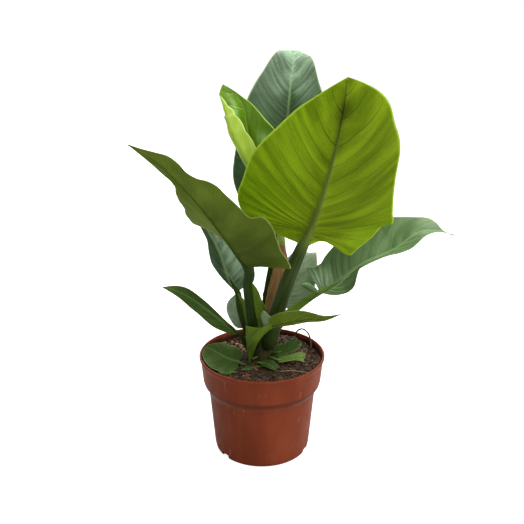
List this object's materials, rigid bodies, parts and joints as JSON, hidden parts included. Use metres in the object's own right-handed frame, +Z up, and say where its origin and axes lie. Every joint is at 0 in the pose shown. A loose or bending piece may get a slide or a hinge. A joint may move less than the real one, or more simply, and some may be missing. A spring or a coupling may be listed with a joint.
{
  "type": "potted philodendron",
  "caption": "Young leafy foliage plant with broad upright leaves on fleshy stalks, rooted in potting soil in a round tapered plastic nursery pot.",
  "frame": {"origin": "centre of the pot's base, on the surface it stands on", "axes": "+Z up along the pot's axis; -Y towards the front, where the large pale leaf shows its underside; +X to the right seen from the front"},
  "size_m": [0.2812, 0.1668, 0.3711],
  "materials": {
    "pot_terracotta": "satin moulded plastic",
    "soil": "moist crumbly potting soil",
    "stem_green": "fleshy dark green stem",
    "leaf_lime": "young lime green leaf, soft gloss",
    "leaf_bright": "thin bright green leaf seen from below",
    "leaf_olive": "olive green leaf underside",
    "leaf_dark": "dark green leaf with a waxy sheen",
    "leaf_grey": "grey green leaf with a waxy sheen",
    "dry_sheath": "dry brown papery leaf sheath",
    "root_brown": "dry brown root"
  },
  "bodies": {
    "root": {"pot": "pot_terracotta", "potting_soil": "soil", "stem": "stem_green", "leaf_front_large": "leaf_bright", "leaf_left_large": "leaf_olive", "leaf_back_tall": "leaf_dark", "leaf_unfurling": "leaf_lime", "leaf_left_back": "leaf_dark", "leaf_right_long": "leaf_dark", "leaf_back_middle": "leaf_grey", "leaf_left_low": "leaf_dark", "leaf_left_small": "leaf_grey", "leaf_front_small": "leaf_olive", "leaf_soil_round": "leaf_dark", "leaf_soil_under": "leaf_dark", "leaf_soil_front": "leaf_dark", "leaf_soil_narrow": "leaf_dark", "leaf_stub_upper": "leaf_olive", "leaf_stub_lower": "leaf_bright", "papery_sheath": "dry_sheath", "aerial_root": "root_brown", "soil_fibre": "root_brown", "dry_leaf_scrap": "dry_sheath"}
  },
  "joints": []
}
